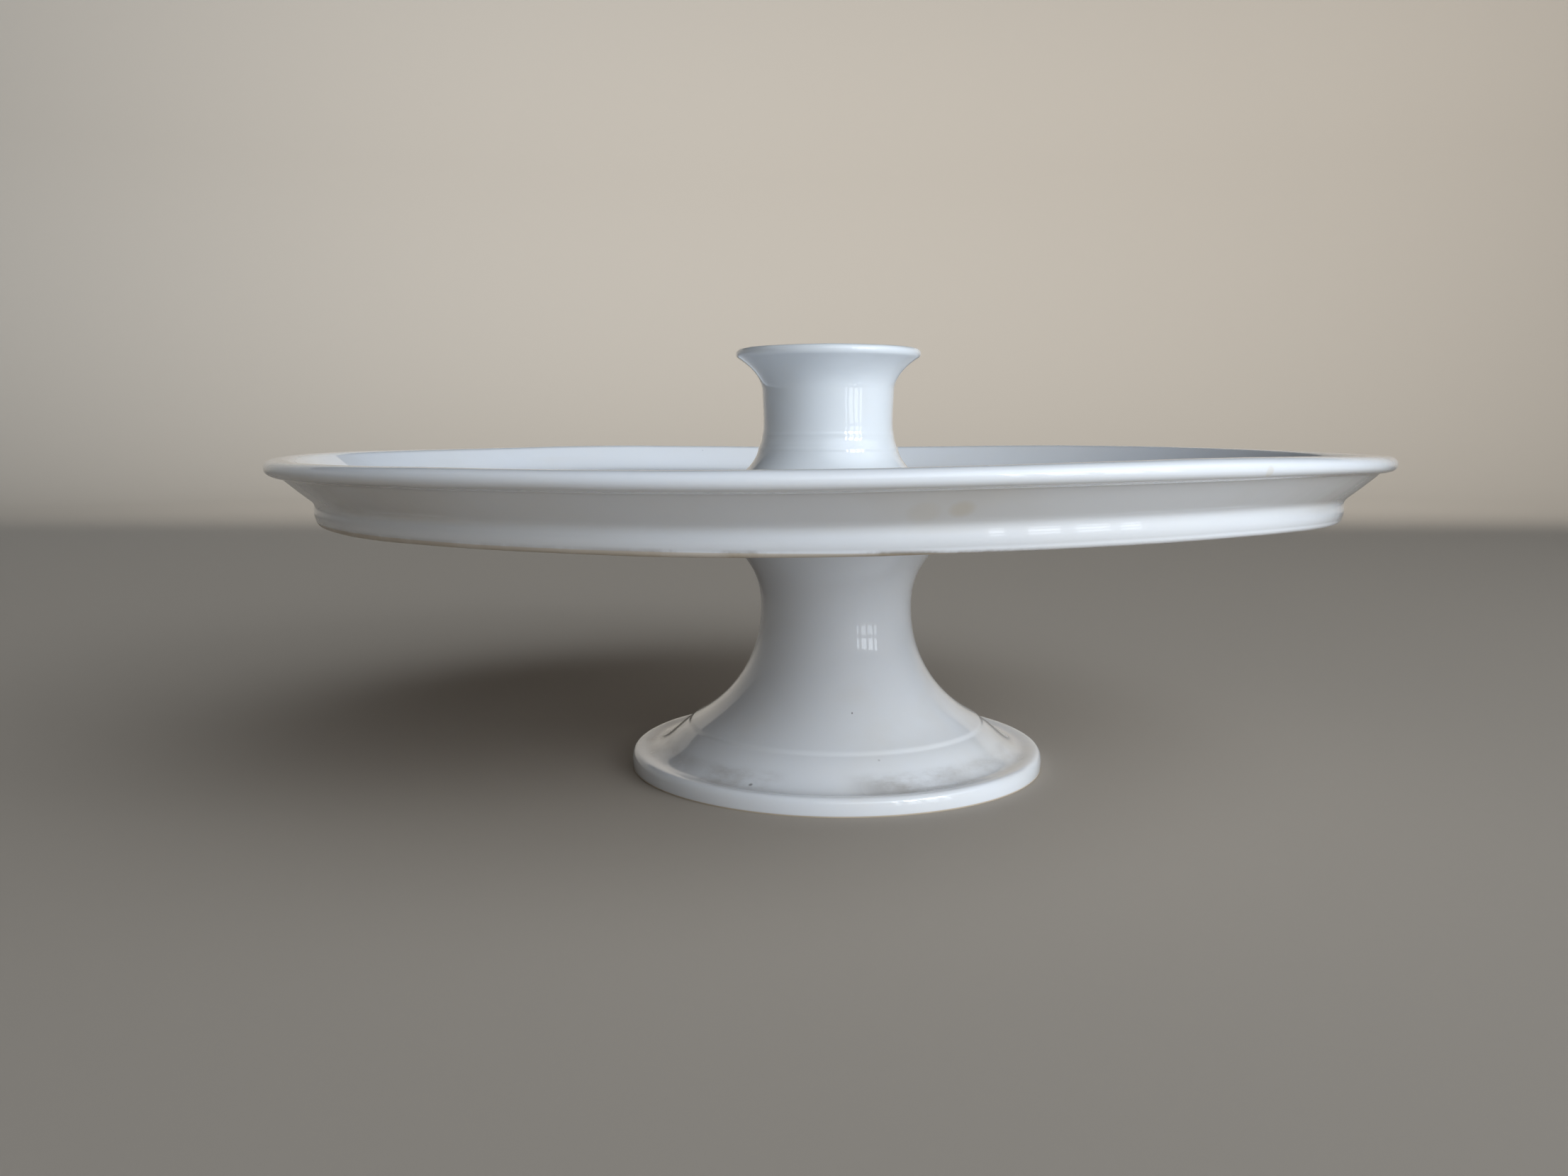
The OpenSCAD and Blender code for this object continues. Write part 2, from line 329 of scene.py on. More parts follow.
def plate_outline():
    band_top = point(RING_OUT + 0.5, ring_z + 4.8)
    fillet_top = point(RING_OUT + 1.9, ring_z + 7.9)
    under_lip = point(plate_r - 5, plate_top - 5.85)
    roll = point(plate_r - 2.7, plate_top - 4.75)
    tip = point(plate_r + 0.3, plate_top - 2.45)
    lip = point(plate_r - 3, plate_top)
    wall_top = point(plate_r - 7.5, plate_top - 1.4)
    floor_edge = point(RING_OUT - 9, plate_floor)
    ring_in = RING_OUT - 6.5
    ring_corner = point(ring_in + 1.5, ring_z + 1.5)
    ring_foot = point(RING_OUT - 1.4, ring_z + 1.4)
    recess = point(ring_in - 2.5, plate_under)
    seat_edge = point(SEAT_R, plate_floor)
    seat = point(SEAT_R, plate_floor - SEAT_DROP)
    return [
        *line(point(HOLE_R, plate_under), recess, 26),
        *curve(recess, recess + point(1.2, 0), point(ring_in, plate_under - 0.6),
               point(ring_in, ring_corner.y), 6),
        *arc(ring_corner, 1.5, 180, 270, 6),
        *line(point(ring_corner.x, ring_z), point(ring_foot.x, ring_z), 3),
        *arc(ring_foot, 1.4, -90, 0, 8),
        *curve(point(RING_OUT, ring_foot.y), point(RING_OUT + 0.6, ring_z + 2.6),
               band_top - point(-0.2, 1.2), band_top, 12),
        *curve(band_top, band_top + point(-0.25, 1.5), away(fillet_top, -1.5, 38), fillet_top, 12),
        *curve(fillet_top, away(fillet_top, 3, 38), away(under_lip, -3, 42), under_lip, 12),
        *curve(under_lip, away(under_lip, 1.3, 42), roll - point(1.2, 0.2), roll, 10),
        *curve(roll, roll + point(1.8, 0), tip - point(0, 1.3), tip, 10),
        *curve(tip, tip + point(0, 1.4), lip + point(1.9, 0), lip, 12),
        *curve(lip, lip - point(2.2, 0), wall_top + point(1.2, 1), wall_top, 12),
        *curve(wall_top, away(wall_top, -9, 38), floor_edge + point(5, 0), floor_edge, 20),
        *line(floor_edge, seat_edge + point(0.4, 0), 22),
        *curve(seat_edge + point(0.4, 0), seat_edge, seat_edge, seat, 4),
        *line(seat, point(HOLE_R, seat.y), 6),
    ]


plate = throw("thrown_plate", plate_outline(), steps=288)
RIM_LIFTS = (-0.5, 0.1, 0.5, -0.9, 0.85, -0.2, 0.0, -0.85, -0.6, -0.7, 1.1, 0.15)
PLATE_SHIFT = (-4.7, 0, 0)
for step, lift in enumerate(RIM_LIFTS):
    turn = math.tau * step / len(RIM_LIFTS)
    rim = Vector((math.cos(turn), math.sin(turn))) * (plate_r - 3)
    if lift:
        grab(plate, lambda at: (at.xy - rim).length < 2.5 and at.z > plate_top - 2, (0, 0, lift), 130)
grab(plate, lambda at: at.xy.length > 60, PLATE_SHIFT, 45)
roughen(plate, "plate throwing", height=0.5, grain=60)
smooth(plate)

# %% [markdown]
# ## The cup
#
# The spool in the middle has a flared base, a straight neck and a flared lip. Its inside
# is a straight socket with a pocket under it for the cap nut. Fingers left two faint
# ridges low on the neck, and all but the rod's hole sits about three millimetres to one
# side. A raised cosine swells each ridge out of the curve, since glaze softens every edge.

# %% Cup
SOCKET_R = 18.5
CUP_FLOOR_T = 5
CUP_SHIFT = (-2.9, 0, 0)
cup_floor = cup_z + CUP_FLOOR_T


def cup_outline():
    base = point(30.7, cup_z + 0.9)
    base_top = away(base, 0.9, 45)
    low_ring = point(24.3, cup_z + 10.2)
    high_ring = point(22.8, cup_z + 15.2)
    neck = point(22.5, cup_z + 17.2)
    flare = point(22.7, cup_top - 14)
    lip = point(cup_lip_r - 1.7, cup_top - 1.7)
    lip_low = away(lip, 1.7, -50)
    lip_in = away(lip, 1.7, 120)
    socket = point(SOCKET_R, cup_top - 13)
    socket_foot = socket - point(0, 15.5)
    pocket = point(SOCKET_R + 3.5, cup_floor + 2)
    return [
        *line(point(HOLE_R, cup_z), point(base.x, cup_z), 8),
        *arc(base, 0.9, -90, 45, 8),
        *curve(base_top, base_top + point(-3.4, 2.6), low_ring + point(1.0, -3.2), low_ring, 20),
        *ridge(low_ring, low_ring + point(-0.7, 2.2), 0.11, 10),
        *curve(low_ring + point(-0.7, 2.2), low_ring + point(-1.0, 3.15), high_ring + point(0.2, -1.3),
               high_ring, 8),
        *ridge(high_ring, neck, 0.06, 10),
        *curve(neck, neck + point(-0.45, 3), flare - point(0.12, 3), flare, 16),
        *curve(flare, flare + point(0.1, 3.6), away(lip_low, -6.2, 31), lip_low, 24),
        *arc(lip, 1.7, -50, 120, 20),
        *curve(lip_in, away(lip_in, 4, -150), socket + point(0, 5.5), socket, 20),
        *line(socket, socket_foot, 8),
        *curve(socket_foot, socket_foot - point(0, 3.5), pocket + point(0, 3), pocket, 12),
        *arc(pocket - point(2, 0), 2, 0, -90, 6),
        *line(point(pocket.x - 2, cup_floor), point(HOLE_R, cup_floor), 6),
        *line(point(HOLE_R, cup_floor), point(HOLE_R, cup_z), 3),
    ]


cup = throw("thrown_cup", cup_outline(), steps=160)
grab(cup, lambda at: at.xy.length > 15, CUP_SHIFT, 6)
roughen(cup, "cup throwing", height=0.2, grain=22)
smooth(cup)

# %% [markdown]
# ## Cork and leather
#
# A cork gasket under the plate and another under the cup keep glaze from grinding on
# glaze. A cork washer lies under the deck and a leather one on the cup's floor. Each is
# punched from sheet: a ring whose cut edge bulges where it is squeezed, and whose faces
# are a little uneven.

# %% Soft rings
def ring_outline(outer, inner, low, high, bulge):
    """A flat ring whose outer and inner edges swell by bulge, from low to high."""
    middle = (low + high) / 2
    return [
        *line(point(inner + bulge, low), point(outer - bulge, low), 5),
        *curve(point(outer - bulge, low), point(outer, low), point(outer, low), point(outer, middle), 4),
        *curve(point(outer, middle), point(outer, high), point(outer, high), point(outer - bulge, high), 4),
        *line(point(outer - bulge, high), point(inner + bulge, high), 5),
        *curve(point(inner + bulge, high), point(inner, high), point(inner, high), point(inner, middle), 4),
        *curve(point(inner, middle), point(inner, low), point(inner, low), point(inner + bulge, low), 4),
    ]


WASHER_R = rod_r + 0.25
GASKET_R = HOLE_R + 1


def soft_ring(name, node, inner, steps):
    outer, low, high = size_of(node)
    piece = throw(name, ring_outline(outer, inner, low, high, 0.3), steps)
    roughen(piece, name, height=0.12, grain=6)
    smooth(piece)
    return piece


plate_gasket = soft_ring("cork_plate_gasket", "plate_gasket", GASKET_R, 128)
cup_gasket = soft_ring("cork_cup_gasket", "cup_gasket", GASKET_R, 96)
cork_washer = soft_ring("cork_deck_washer", "cork_washer", WASHER_R, 72)
leather_washer = soft_ring("leather_floor_washer", "leather_washer", WASHER_R, 72)

# %% [markdown]
# ## Brass
#
# The rod is threaded from end to end. One pitch of the thread is drawn as an open chain,
# and a Screw modifier winds it upwards. A stack of rings would be easier, but a nut could
# never run along it. The turns share their edges, so once they are merged only the two
# ends are open, and bisect cuts those flat and fills them.

# %% Threaded rod
PITCH = 1.25
THREAD_DEPTH = 0.65
THREAD_MERGE = 0.002


def thread_outline(bottom):
    root = rod_r - THREAD_DEPTH
    return [
        point(root, bottom),
        point(root, bottom + 0.12 * PITCH),
        point(rod_r, bottom + 0.47 * PITCH),
        point(rod_r, bottom + 0.65 * PITCH),
        point(root, bottom + PITCH),
    ]


def cut_flat(piece, height, upwards):
    """Cuts a piece off level at a height, and closes the cut."""
    work_on(piece)
    bpy.ops.object.mode_set(mode="EDIT")
    bpy.ops.mesh.select_all(action="SELECT")
    bpy.ops.mesh.bisect(plane_co=(0, 0, height * MM), plane_no=(0, 0, 1), use_fill=True,
                        clear_outer=upwards, clear_inner=not upwards)
    bpy.ops.object.mode_set(mode="OBJECT")


def threaded_rod():
    turns = math.ceil((rod_top - rod_bottom) / PITCH) + 3
    piece = draw_chain("threaded_tie_rod", thread_outline(rod_bottom - 2 * PITCH))
    bpy.ops.object.mode_set(mode="OBJECT")
    wind = piece.modifiers.new("thread", "SCREW")
    wind.screw_offset = PITCH * MM
    wind.iterations = turns
    wind.steps = wind.render_steps = 32
    wind.use_merge_vertices = True
    wind.merge_threshold = THREAD_MERGE * MM
    bpy.ops.object.modifier_apply(modifier=wind.name)
    work_on(piece)
    bpy.ops.object.mode_set(mode="EDIT")
    bpy.ops.mesh.select_all(action="SELECT")
    bpy.ops.mesh.remove_doubles(threshold=MERGE * MM)
    bpy.ops.object.mode_set(mode="OBJECT")
    cut_flat(piece, rod_top, True)
    cut_flat(piece, rod_bottom, False)
    bpy.ops.object.mode_set(mode="EDIT")
    bpy.ops.mesh.select_all(action="SELECT")
    bpy.ops.mesh.normals_make_consistent(inside=False)
    bpy.ops.object.mode_set(mode="OBJECT")
    print(f"{piece.name}: {turns} turns, {len(piece.data.polygons)} faces")
    return piece


tie_rod = threaded_rod()
smooth(tie_rod, 30)

# %% [markdown]
# ## Nuts and washers
#
# A nut is a hexagon whose corners were turned off on a lathe. So a six-sided prism and a
# turned body that holds the chamfers, the bore and the dome are made, and a Boolean keeps
# only what lies in both.

# %% Nuts and washers
NUT_BORE_R = rod_r + 0.05
FLAT_PER_CORNER = math.cos(math.radians(30))
CHAMFER_SLOPE = 0.58


def nut_sizes(node):
    """A nut's radius at its corners and flats, its lowest and highest height, its chamfer."""
    corner_r, low, high = size_of(node)
    flat_r = corner_r * FLAT_PER_CORNER
    return corner_r, flat_r, low, high, (corner_r - flat_r + 0.4) * CHAMFER_SLOPE


def hexagon(name, low, high, corner_r):
    deselect()
    bpy.ops.mesh.primitive_cylinder_add(
        vertices=6, radius=corner_r * MM, depth=(high - low) * MM,
        location=(0, 0, (low + high) / 2 * MM), end_fill_type="NGON")
    bpy.ops.object.transform_apply(location=True, rotation=False, scale=False)
    piece = bpy.context.object
    piece.name = name
    return piece


def keep_common(piece, other):
    """Keeps the part of a piece that lies inside the other, and removes the other."""
    work_on(piece)
    cut = piece.modifiers.new("turned", "BOOLEAN")
    cut.operation = "INTERSECT"
    cut.solver = "EXACT"
    cut.object = other
    bpy.ops.object.modifier_apply(modifier=cut.name)
    bpy.data.objects.remove(other)
    smooth(piece, 25)
    print(f"{piece.name}: {len(piece.data.polygons)} faces")
    return piece


# %% The two nuts
def clamp_nut_shape():
    corner_r, flat_r, low, high, drop = nut_sizes("clamp_nut")
    bore = NUT_BORE_R
    turned = throw("turned clamp nut", [
        point(bore, low + 0.5), point(bore + 0.5, low), point(flat_r - 0.3, low),
        point(corner_r + 0.1, low + drop), point(corner_r + 0.1, high - drop),
        point(flat_r - 0.3, high), point(bore + 0.5, high), point(bore, high - 0.5),
    ], steps=96)
    return keep_common(hexagon("hex_clamp_nut", low, high, corner_r), turned)


def cap_nut_shape():
    corner_r, flat_r, low, high, drop = nut_sizes("cap_nut")
    bore = NUT_BORE_R
    flats_top = low + 4.5
    bore_top = low + 6.5
    dome_r = flat_r - 0.4
    turned = throw("turned cap nut", [
        point(0, bore_top), point(bore, bore_top), point(bore, low + 0.5), point(bore + 0.5, low),
        point(corner_r + 0.1, low), point(corner_r + 0.1, flats_top - drop),
        point(dome_r + 0.2, flats_top),
        *curve(point(dome_r, flats_top), point(dome_r, flats_top + 2.3),
               point(dome_r * 0.55, high), point(0, high), 14),
        point(0, high),
    ], steps=96, closed=False)
    return keep_common(hexagon("domed_cap_nut", low, high, corner_r), turned)


# %% Washers, and making all four
def brass_washer(name, node):
    outer, low, high = size_of(node)
    piece = throw(name, ring_outline(outer, WASHER_R, low, high, 0.15), 96)
    smooth(piece, 40)
    return piece


clamp_nut = clamp_nut_shape()
cap_nut = cap_nut_shape()
cap_washer = brass_washer("brass_cap_washer", "cap_washer")
clamp_washer = brass_washer("brass_clamp_washer", "clamp_washer")

# %% [markdown]
# ## Glaze
#
# Glazed porcelain is a white body under a thin layer of clear glass. The body is the base
# colour with a little light scattered under the surface, and the glass is the coat. Its
# faults make it real: the white drifts a little, iron specks burn through, dirt sits in the
# foot's valley, and the edges that stood on the kiln shelf are bare. The cup's whites are
# painted greyer than the others, as painted shade that dims the cup, and some of the
# darkening in the foot's valley is painted shade too.

# %% Node helpers
def add(tree, kind, inputs=None, **settings):
    """A node with its settings made, and its inputs set to values or linked to sockets."""
    node = tree.nodes.new("ShaderNode" + kind)
    for key, value in settings.items():
        setattr(node, key, value)
    for key, value in (inputs or {}).items():
        if isinstance(value, bpy.types.NodeSocket):
            tree.links.new(value, node.inputs[key])
        else:
            node.inputs[key].default_value = value
    return node


def new_material(name):
    """A material, its empty node tree, and the place on the piece as a socket."""
    material = bpy.data.materials.new(name)
    material.use_nodes = True
    tree = material.node_tree
    tree.nodes.clear()
    return material, tree, add(tree, "TexCoord").outputs["Object"]


def surface(tree, inputs):
    """The shader of a material, linked to its output."""
    shader = add(tree, "BsdfPrincipled", inputs)
    add(tree, "OutputMaterial", {"Surface": shader.outputs[0]})


# %% [markdown]
# ### Sums, masks and mixes
#
# One shader node does one small step, so a mask takes many of them. Wiring them by hand is
# slow to read. Each short helper here adds a node or a few, and hands back the socket that
# holds the answer, so that a finish further down reads like a recipe.

# %% Sums, masks and mixes
def maths(tree, operation, *values):
    return add(tree, "Math", dict(enumerate(values)), operation=operation).outputs[0]


def times(tree, *values):
    product = values[0]
    for value in values[1:]:
        product = maths(tree, "MULTIPLY", product, value)
    return product


def strongest(tree, *masks):
    most = masks[0]
    for mask in masks[1:]:
        most = maths(tree, "MAXIMUM", most, mask)
    return most


def ramp(tree, value, low, high):
    """0 below low, 1 above high, and a smooth rise between them."""
    return add(tree, "MapRange", {"Value": value, "From Min": low, "From Max": high},
               interpolation_type="SMOOTHSTEP").outputs[0]


def between(tree, value, low, high, soft):
    """1 between low and high, and a smooth fall outside them."""
    rise = ramp(tree, value, low - soft, low)
    fall = ramp(tree, value, high + soft, high)
    return times(tree, rise, fall)


def noise(tree, where, scale, detail=3.0, roughness=0.55):
    made = add(tree, "TexNoise", {
        "Vector": where, "Scale": scale, "Detail": detail, "Roughness": roughness})
    return made.outputs["Fac"]


def rescale(tree, value, low, high):
    """A value that runs from 0 to 1, made to run from low to high."""
    return add(tree, "MapRange", {"Value": value, "To Min": low, "To Max": high}).outputs[0]


def bump(tree, height, strength, distance):
    made = add(tree, "Bump", {"Height": height, "Strength": strength, "Distance": distance})
    return made.outputs[0]


def mix_colour(tree, amount, first, second):
    """The first colour where amount is 0 and the second where it is 1."""
    # A Mix node keeps its sockets for colours at inputs 6 and 7 and at output 2.
    return add(tree, "Mix", {0: amount, 6: first, 7: second}, data_type="RGBA").outputs[2]


def colour(red, green, blue):
    return (red, green, blue, 1.0)


# %% [markdown]
# ### Places on a glaze
#
# A stain on a pot is somewhere: at a spot, or on one side of it. A mask says where. It is
# a number on every point of the surface, 1 on the stain and 0 away from it, worked out
# from the point's place on the piece. A painted image could do it too, but it needs a map
# of the surface and blurs close up. A mask that is worked out is sharp at any distance.

# %% Places on a glaze
ROUND = (1, 1, 1)


def spot(tree, where, centre, radius, soft, squash):
    """1 within a radius of a centre, in millimetres, and a soft fall outside it.

    Each direction is squashed by its number first, so a small one draws the spot out.
    """
    middle = tuple(part * MM * scale for part, scale in zip(centre, squash))
    scaled = add(tree, "VectorMath", {0: where, 1: squash}, operation="MULTIPLY").outputs[0]
    far = add(tree, "VectorMath", {0: scaled, 1: middle}, operation="DISTANCE").outputs["Value"]
    return ramp(tree, far, (radius + soft) * MM, radius * MM)


def spots(tree, where, marks):
    """The strongest of several spots: centre, radius, soft edge, squash and strength of each."""
    masks = [times(tree, spot(tree, where, centre, radius, soft, squash), strength)
             for centre, radius, soft, squash, strength in marks]
    return strongest(tree, *masks)


def sector(tree, where, angle, spread):
    """1 at an angle round the axis, in degrees from the front, and 0 beyond the spread."""
    turn = math.radians(angle)
    ahead = (math.sin(turn), -math.cos(turn), 0)
    flat = add(tree, "VectorMath", {0: where, 1: (1, 1, 0)}, operation="MULTIPLY").outputs[0]
    unit = add(tree, "VectorMath", {0: flat}, operation="NORMALIZE").outputs[0]
    facing = add(tree, "VectorMath", {0: unit, 1: ahead}, operation="DOT_PRODUCT").outputs["Value"]
    return ramp(tree, facing, math.cos(math.radians(spread)), 1.0)


# %% [markdown]
# ### The glaze itself
#
# The colour is built in layers from the body outwards, each laid over the last through
# its mask: tea-coloured stain, grime, bare clay, and dark iron. On the foot the grime layer
# is partly painted shade. Where the grime layer or the bare clay lies, the coat goes too and
# the roughness rises, so those places are matt. A very faint bump ripples the clear coat, as
# the skin of a real glaze does. The dirt, the bare clay, the stains and the marks differ
# from piece to piece, so each is handed in as a function that makes a mask from the place on
# the piece, its radius and its height.

# %% Glazed porcelain
WHITES = (colour(0.83, 0.855, 0.90), colour(0.84, 0.84, 0.84))
# Greyer whites for the cup: painted shade that dims the whole cup.
CUP_SHADED_WHITES = (colour(0.74, 0.77, 0.80), colour(0.75, 0.75, 0.74))
BARE_CLAY = colour(0.58, 0.49, 0.38)
# This colour also paints shade, on the left of the foot's valley.
GRIME_AND_SHADE = colour(0.26, 0.215, 0.165)
TEA = colour(0.70, 0.61, 0.46)
IRON = colour(0.05, 0.035, 0.03)


def porcelain(name, whites, dirt_and_shade, bare, stain, marks):
    """Glazed porcelain that drifts between two whites. The last four build the masks."""
    material, tree, where = new_material(name)
    across = add(tree, "VectorMath", {0: where, 1: (1, 1, 0)}, operation="MULTIPLY").outputs[0]
    radius = add(tree, "VectorMath", {0: across}, operation="LENGTH").outputs["Value"]
    height = add(tree, "SeparateXYZ", {0: where}).outputs[2]
    drift = ramp(tree, noise(tree, where, 9.0, 2.0), 0.35, 0.75)
    body = mix_colour(tree, times(tree, drift, 0.6), *whites)
    specks = add(tree, "TexVoronoi", {"Vector": where, "Scale": 95.0}, feature="F1")
    rare = add(tree, "SeparateColor", {0: specks.outputs["Color"]}).outputs[0]
    dot = ramp(tree, specks.outputs["Distance"], 0.032, 0.012)
    speck = times(tree, dot, maths(tree, "GREATER_THAN", rare, 0.97))
    # On the foot this mask holds painted shade as well as dirt.
    grime_and_shade = dirt_and_shade(tree, where, radius, height)
    worn = bare(tree, where, radius, height)
    shade = mix_colour(tree, stain(tree, where, radius, height), body, TEA)
    shade = mix_colour(tree, grime_and_shade, shade, GRIME_AND_SHADE)
    shade = mix_colour(tree, worn, shade, BARE_CLAY)
    dark = strongest(tree, times(tree, speck, 0.7), marks(tree, where, radius, height))
    shade = mix_colour(tree, dark, shade, IRON)
    dull = strongest(tree, worn, times(tree, grime_and_shade, 0.8))
    ripple = bump(tree, noise(tree, where, 70.0, 2.0), 0.2, 0.0004)
    surface(tree, {
        "Base Color": shade, "Roughness": rescale(tree, dull, 0.16, 0.75),
        "IOR": 1.5, "Specular IOR Level": 0.15, "Normal": ripple,
        "Coat Weight": rescale(tree, dull, 1.0, 0.1), "Coat Roughness": 0.012,
        "Coat IOR": 1.5, "Coat Normal": ripple,
        "Subsurface Weight": 0.12, "Subsurface Radius": (0.004, 0.0035, 0.003),
        "Subsurface Scale": 1.0,
    })
    return material


# %% [markdown]
# ### Where the dirt and the painted shade are
#
# Dirt follows the shape and the cloth that wiped it: it stays in the foot's valley, worst
# in a few smears, and along the lower edge of the plate's ring, where the glaze is thin. The
# foot's mask also paints shade: the smear on its left side is painted shade, and a thin
# darker line runs along the deepest part of the valley. So each mask is a band of heights or
# radii, times a few sectors round the axis, times a streaky noise. Single stains and iron
# marks are spots at a place.

# %% Masks for the pedestal
# Each smear has an angle and a spread in degrees, and a strength. The smear at -75 degrees,
# on the left side, is painted shade.
FOOT_SMEARS_AND_SHADE = ((-30, 17, 0.85), (25, 24, 1.0), (62, 34, 0.6), (-75, 42, 0.55), (165, 60, 0.45))
# Each mark has a centre, a radius and a soft edge in millimetres, a squash and a strength.
FOOT_MARKS = (
    ((5.4, -37.8, 24.6), 0.12, 0.25, (1, 0.2, 1), 0.75),
    ((-26.5, -57.4, 7.5), 0.5, 0.5, (1, 1, 0.3), 0.6),
    ((13.8, -52, 12.9), 0.25, 0.4, ROUND, 0.3),
)


def streaks(tree, where, scale, stretch):
    """Noise that is drawn out round the axis, as a cloth smears."""
    drawn = add(tree, "VectorMath", {0: where, 1: (1, 1, stretch)}, operation="MULTIPLY").outputs[0]
    return noise(tree, drawn, scale, 5.0, 0.6)


def foot_dirt_and_shade(tree, where, radius, height):
    # Dirt in the valley, with painted shade mixed in: the smear on the left side is painted shade.
    deep = between(tree, radius, (foot_r - 7.4) * MM, (foot_r - 5.6) * MM, 2 * MM)
    wide = between(tree, radius, (foot_r - 12) * MM, (foot_r - 6.5) * MM, 3.5 * MM)
    low = ramp(tree, height, 0.012, 0.0085)
    smears_and_shade = [times(tree, sector(tree, where, angle, spread), strength)
              for angle, spread, strength in FOOT_SMEARS_AND_SHADE]
    haze = times(tree, wide, ramp(tree, streaks(tree, where, 60.0, 3.0), 0.3, 0.66), 0.55)
    # A thin darker line along the deepest part of the valley.
    valley_line = times(tree, deep, ramp(tree, streaks(tree, where, 110.0, 2.0), 0.35, 0.7), 0.32)
    return times(tree, strongest(tree, haze, valley_line), low, strongest(tree, *smears_and_shade))


def foot_bare(tree, where, radius, height):
    return ramp(tree, height, 0.0006, 0.0003)


def foot_stain(tree, where, radius, height):
    breath = ramp(tree, noise(tree, where, 26.0, 3.0), 0.5, 0.8)
    slope = between(tree, height, 0.007, 0.032, 0.006)
    return times(tree, breath, slope, 0.22)


def foot_marks(tree, where, radius, height):
    return spots(tree, where, FOOT_MARKS)


# %% [markdown]
# ### The plate's faults
#
# The plate stood in the kiln on its ring, so the ring's lower edge is almost bare and
# holds the most dirt. Yellow stains have crept into the wall and the lip, and a scratch
# and a few iron spots lie on the ring and the lip. They are small, but without them the
# plate looks like plastic.

# %% Masks for the plate
YELLOW_STAINS = (
    ((27, -167, 100), 1.5, 3.5, ROUND, 0.5),
    ((19, -168, 99), 2.0, 5.0, ROUND, 0.3),
    ((99, -147, 106.5), 0.9, 0.8, ROUND, 0.3),
)
PLATE_MARKS = (
    ((-85, -142.5, 93.5), 0.25, 0.3, (1, 1, 0.16), 0.75),
    ((46.5, -159.5, 89), 0.8, 0.6, ROUND, 0.85),
    ((1, -177, 104), 0.4, 0.5, (0.3, 1, 1), 0.7),
    ((-66, -163, 105), 0.3, 0.3, ROUND, 0.6),
)


def on_ring(tree, radius):
    """1 on the ring, and 0 on the plate's middle and on the wall and lip outside it."""
    return between(tree, radius, (RING_OUT - 8) * MM, (RING_OUT + 5) * MM, 2 * MM)


def ring_grime(tree, where, radius, height):
    low = ramp(tree, height, (ring_z + 1.5) * MM, (ring_z + 0.1) * MM)
    front = maths(tree, "ADD", 0.35, times(tree, sector(tree, where, 8, 30), 0.6))
    patches = ramp(tree, streaks(tree, where, 70.0, 1.0), 0.4, 0.62)
    return times(tree, on_ring(tree, radius), low, times(tree, patches, front))


def ring_bare(tree, where, radius, height):
    low = ramp(tree, height, (ring_z + 0.55) * MM, (ring_z + 0.2) * MM)
    return times(tree, on_ring(tree, radius), low, 0.75)


def plate_stain(tree, where, radius, height):
    under = ramp(tree, noise(tree, where, 14.0, 3.0), 0.45, 0.8)
    wall = between(tree, height, (ring_z + 6) * MM, (plate_top - 5) * MM, 2 * MM)
    return strongest(tree, spots(tree, where, YELLOW_STAINS), times(tree, under, wall, 0.25))


def plate_marks(tree, where, radius, height):
    return spots(tree, where, PLATE_MARKS)


# %% [markdown]
# ### The cup's faults
#
# Nobody touches the cup much, so it is the cleanest piece: a thin line of dirt where it
# meets the plate, a bare underside, the faintest stain and one iron spot.

# %% Masks for the cup
CUP_MARKS = (((15, -18.5, 114), 0.25, 0.3, ROUND, 0.5),)


def cup_grime(tree, where, radius, height):
    return times(tree, ramp(tree, height, (cup_z + 1.2) * MM, (cup_z + 0.3) * MM), 0.35)


def cup_bare(tree, where, radius, height):
    return ramp(tree, height, (cup_z + 0.15) * MM, (cup_z + 0.05) * MM)


def cup_stain(tree, where, radius, height):
    return times(tree, ramp(tree, noise(tree, where, 40.0, 3.0), 0.55, 0.85), 0.1)


def cup_marks(tree, where, radius, height):
    return spots(tree, where, CUP_MARKS)


# %% [markdown]
# ### Glazing
#
# All three pieces are dipped in one kind of glaze, so one function makes all three
# finishes, each with its own whites and masks. Here the pieces also get their body in the
# frame: nothing on the stand moves, so every piece rides on the same one.

# %% Glaze the three pieces
finish_piece(pedestal, "pedestal",
             porcelain("pedestal glaze", WHITES, foot_dirt_and_shade, foot_bare, foot_stain, foot_marks))
finish_piece(plate, "serving_plate",
             porcelain("plate glaze", WHITES, ring_grime, ring_bare, plate_stain, plate_marks))
# The cup's greyer whites are painted shade that dims it.
finish_piece(cup, "centre_cup",
             porcelain("cup glaze", CUP_SHADED_WHITES, cup_grime, cup_bare, cup_stain, cup_marks))

# %% [markdown]
# ## Brass, cork and leather finishes
#
# Brass that nobody polishes goes brown in patches and stays bright between them. Cork is
# grains pressed together, each a slightly different tan. Leather is dark, with a fine net
# of creases. All three patterns are solid, so a cut edge shows them as well as a face does.

# %% Fittings' finishes
BRIGHT_BRASS = colour(0.74, 0.53, 0.23)
BROWN_BRASS = colour(0.42, 0.27, 0.11)
PALE_CORK = colour(0.50, 0.32, 0.17)
DARK_CORK = colour(0.28, 0.16, 0.08)
CREASED_LEATHER = colour(0.08, 0.04, 0.02)
SMOOTH_LEATHER = colour(0.22, 0.11, 0.05)


def brass(name):
    material, tree, where = new_material(name)
    patina = ramp(tree, noise(tree, where, 260.0, 4.0), 0.4, 0.75)
    surface(tree, {
        "Base Color": mix_colour(tree, patina, BRIGHT_BRASS, BROWN_BRASS),
        "Roughness": rescale(tree, patina, 0.24, 0.5), "Metallic": 1.0,
        "Normal": bump(tree, noise(tree, where, 1800.0, 2.0), 0.2, 0.00005),
    })
    return material


